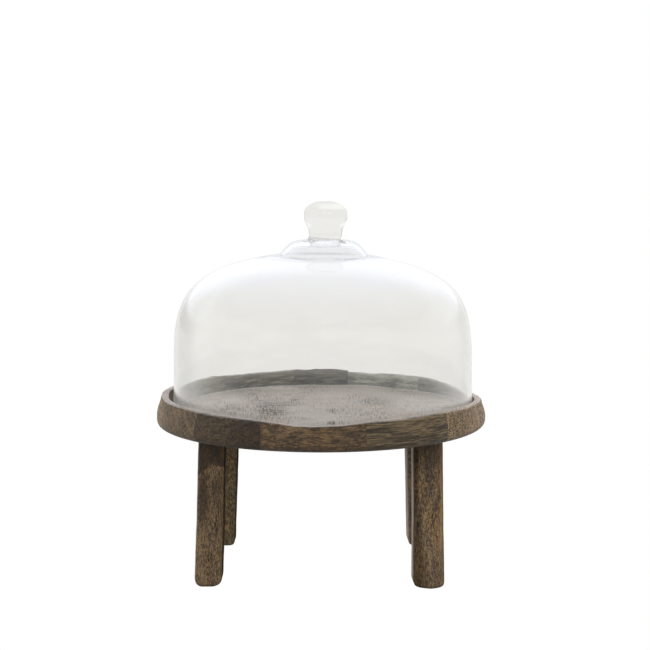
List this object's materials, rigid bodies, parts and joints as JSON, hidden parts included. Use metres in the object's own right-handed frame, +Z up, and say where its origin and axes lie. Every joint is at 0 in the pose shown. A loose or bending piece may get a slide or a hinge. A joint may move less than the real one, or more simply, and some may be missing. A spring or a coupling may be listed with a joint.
{
  "type": "glass cloche on footed tray",
  "caption": "Blown-glass bell jar dome with a solid glass knob, standing loose in a rustic round wooden tray on square legs; the dome lifts straight off.",
  "frame": {"origin": "middle of the four feet on the resting plane, which is the foot of the tray's and the dome's common vertical axis", "axes": "+Z up along the dome's axis, -Y towards the front, +X to the right; the tray's staves run along X"},
  "size_m": [0.305, 0.305, 0.3363],
  "materials": {
    "tray_wood": "waxed, short staves glued up, hand-hewn rim",
    "leg_wood": "waxed, hand-planed square post, dark stained",
    "insert_brass": "machined",
    "bolt_steel": "zinc-plated",
    "dome_glass": "clear, hand-blown"
  },
  "bodies": {
    "stand": {"stave_a1": "tray_wood", "stave_a2": "tray_wood", "stave_a3": "tray_wood", "stave_b1": "tray_wood", "stave_b2": "tray_wood", "stave_b3": "tray_wood", "stave_c1": "tray_wood", "stave_c2": "tray_wood", "stave_c3": "tray_wood", "stave_d1": "tray_wood", "stave_d2": "tray_wood", "stave_d3": "tray_wood", "stave_d4": "tray_wood", "stave_e1": "tray_wood", "stave_e2": "tray_wood", "stave_e3": "tray_wood", "stave_f1": "tray_wood", "stave_f2": "tray_wood", "stave_f3": "tray_wood", "leg_front_left": "leg_wood", "leg_front_right": "leg_wood", "leg_rear_left": "leg_wood", "leg_rear_right": "leg_wood", "threaded_inserts": "insert_brass", "hanger_bolts": "bolt_steel"},
    "cloche": {"glass_dome": "dome_glass", "glass_knob": "dome_glass"}
  },
  "joints": [
    {"name": "dome_lift", "type": "slide", "parent": "stand", "child": "cloche", "axis": [0, 0, 1], "range_m": [0, 0.2]}
  ]
}
